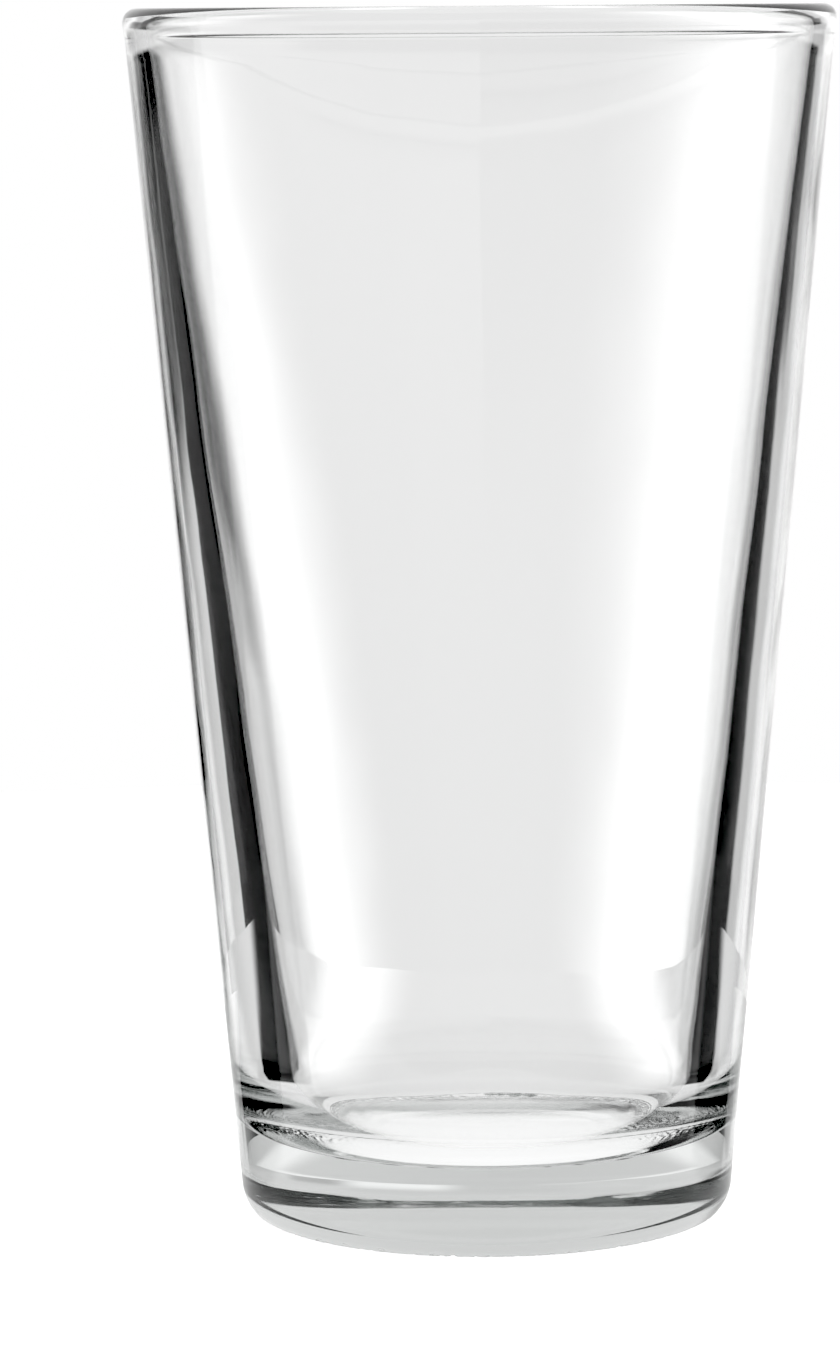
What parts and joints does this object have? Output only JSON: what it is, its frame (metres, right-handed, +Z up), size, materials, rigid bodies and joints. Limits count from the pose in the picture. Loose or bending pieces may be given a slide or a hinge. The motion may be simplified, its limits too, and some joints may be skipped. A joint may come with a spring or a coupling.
{
  "type": "pint glass",
  "caption": "Tall tapered drinking glass in clear pressed glass, with a thick solid base, a rounded rim bead and a narrow bearing ring around a shallow hollow underneath.",
  "frame": {"origin": "centre of the bearing ring, on the table the glass stands on", "axes": "+Z up the centreline towards the mouth; the glass is turned about it, so X and Y are interchangeable"},
  "size_m": [0.0964, 0.0964, 0.1651],
  "materials": {
    "clear_glass": "polished"
  },
  "bodies": {
    "root": {"glass_body": "clear_glass"}
  },
  "joints": []
}
